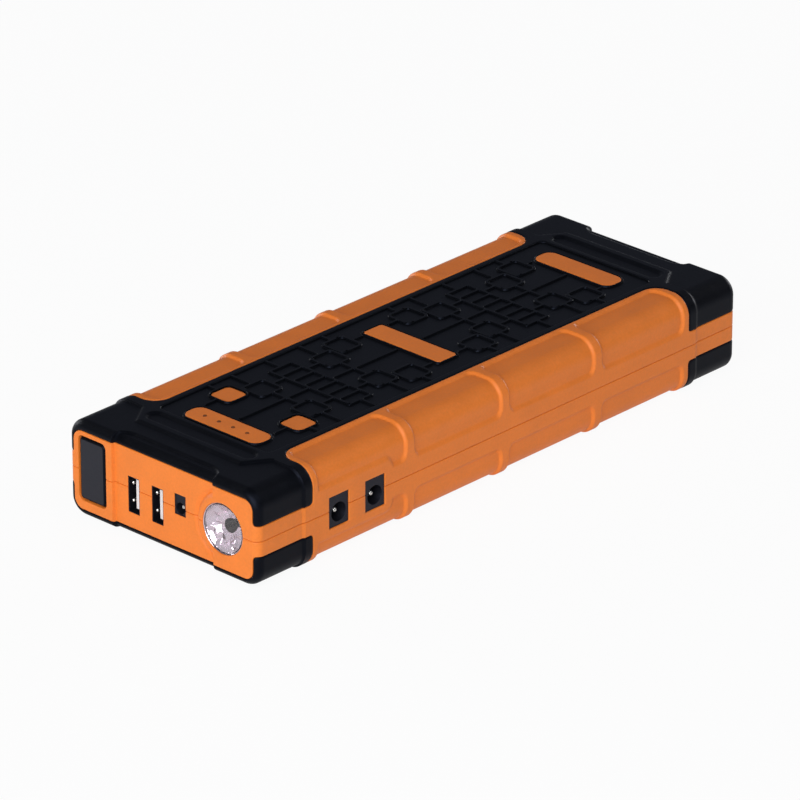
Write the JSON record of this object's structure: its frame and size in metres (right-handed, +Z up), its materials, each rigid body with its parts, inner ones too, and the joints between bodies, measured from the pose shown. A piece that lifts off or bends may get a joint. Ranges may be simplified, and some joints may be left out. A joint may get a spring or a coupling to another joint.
{
  "type": "jump starter pack",
  "caption": "Flat hand-held jump starter pack: orange case in a black grip skin, with side ribs, ports and lamp in one end, covered jump socket and side outlets.",
  "frame": {"origin": "middle of the footprint, on the surface that the pack lies on", "axes": "+Z up through the grip deck, +Y from the port end to the plain end, +X towards the side with the two round outlets"},
  "size_m": [0.085, 0.227, 0.035],
  "materials": {
    "orange_plastic": "fine spark texture, satin",
    "black_skin": "moulded soft skin, satin",
    "black_rubber": "moulded rubber, matt",
    "black_plastic": "moulded, satin",
    "white_plastic": "moulded, satin",
    "blue_plastic": "moulded, satin",
    "clear_plastic": "polished",
    "bright_steel": "nickel plated",
    "gold_contact": "gold plated",
    "copper_strip": "rolled",
    "bright_reflector": "metallised mirror",
    "lamp_aluminium": "white printed face",
    "green_laminate": "solder mask",
    "dark_ferrite": "sintered, matt",
    "cell_foil": "laminated foil",
    "grey_foam": "foam sheet",
    "red_sheath": "silicone",
    "black_sheath": "silicone"
  },
  "bodies": {
    "case": {"upper_case": "orange_plastic", "lower_case": "orange_plastic", "upper_skin": "black_skin", "lower_skin": "black_skin", "power_switch": "black_plastic", "lamp_switch": "black_plastic", "light_pipe": "clear_plastic", "indicator_leds": "white_plastic", "usb_shell_1": "bright_steel", "usb_shell_2": "bright_steel", "usb_tongue_1": "white_plastic", "usb_tongue_2": "white_plastic", "usb_contacts_1": "gold_contact", "usb_contacts_2": "gold_contact", "charge_socket": "black_plastic", "charge_pin": "bright_steel", "outlet_1": "black_plastic", "outlet_2": "black_plastic", "outlet_pin_1": "bright_steel", "outlet_pin_2": "bright_steel", "cover_tether": "black_rubber", "jump_socket": "blue_plastic", "jump_contact_positive": "gold_contact", "jump_contact_negative": "gold_contact", "lamp_lens": "clear_plastic", "lamp_reflector": "bright_reflector", "lamp_board": "lamp_aluminium", "lamp_emitter": "white_plastic", "main_board": "green_laminate", "board_screws": "bright_steel", "inductor": "dark_ferrite", "capacitors": "cell_foil", "controller_chip": "black_plastic", "battery_cell_1": "cell_foil", "battery_cell_2": "cell_foil", "battery_cell_3": "cell_foil", "cell_spacer_1": "grey_foam", "cell_spacer_2": "grey_foam", "base_pad": "grey_foam", "top_pad": "grey_foam", "cell_link_1": "copper_strip", "cell_link_2": "copper_strip", "terminal_positive": "copper_strip", "terminal_negative": "copper_strip", "lead_positive": "red_sheath", "lead_negative": "black_sheath", "case_screws": "bright_steel"},
    "power_button": {"power_button": "orange_plastic", "power_switch_plunger": "white_plastic"},
    "lamp_button": {"lamp_button": "orange_plastic", "lamp_switch_plunger": "white_plastic"},
    "socket_cover": {"socket_cover": "black_rubber"}
  },
  "joints": [
    {"name": "power_press", "type": "slide", "parent": "case", "child": "power_button", "axis": [0, 0, -1], "range_m": [0, 0.0004], "stiffness_N_per_m": 1500},
    {"name": "lamp_press", "type": "slide", "parent": "case", "child": "lamp_button", "axis": [0, 0, -1], "range_m": [0, 0.0004], "stiffness_N_per_m": 1500},
    {"name": "cover_hinge", "type": "hinge", "parent": "case", "child": "socket_cover", "pos_m": [-0.0373, -0.1135, 0.0179], "axis": [0, 0, -1], "range_deg": [0, 120]}
  ]
}
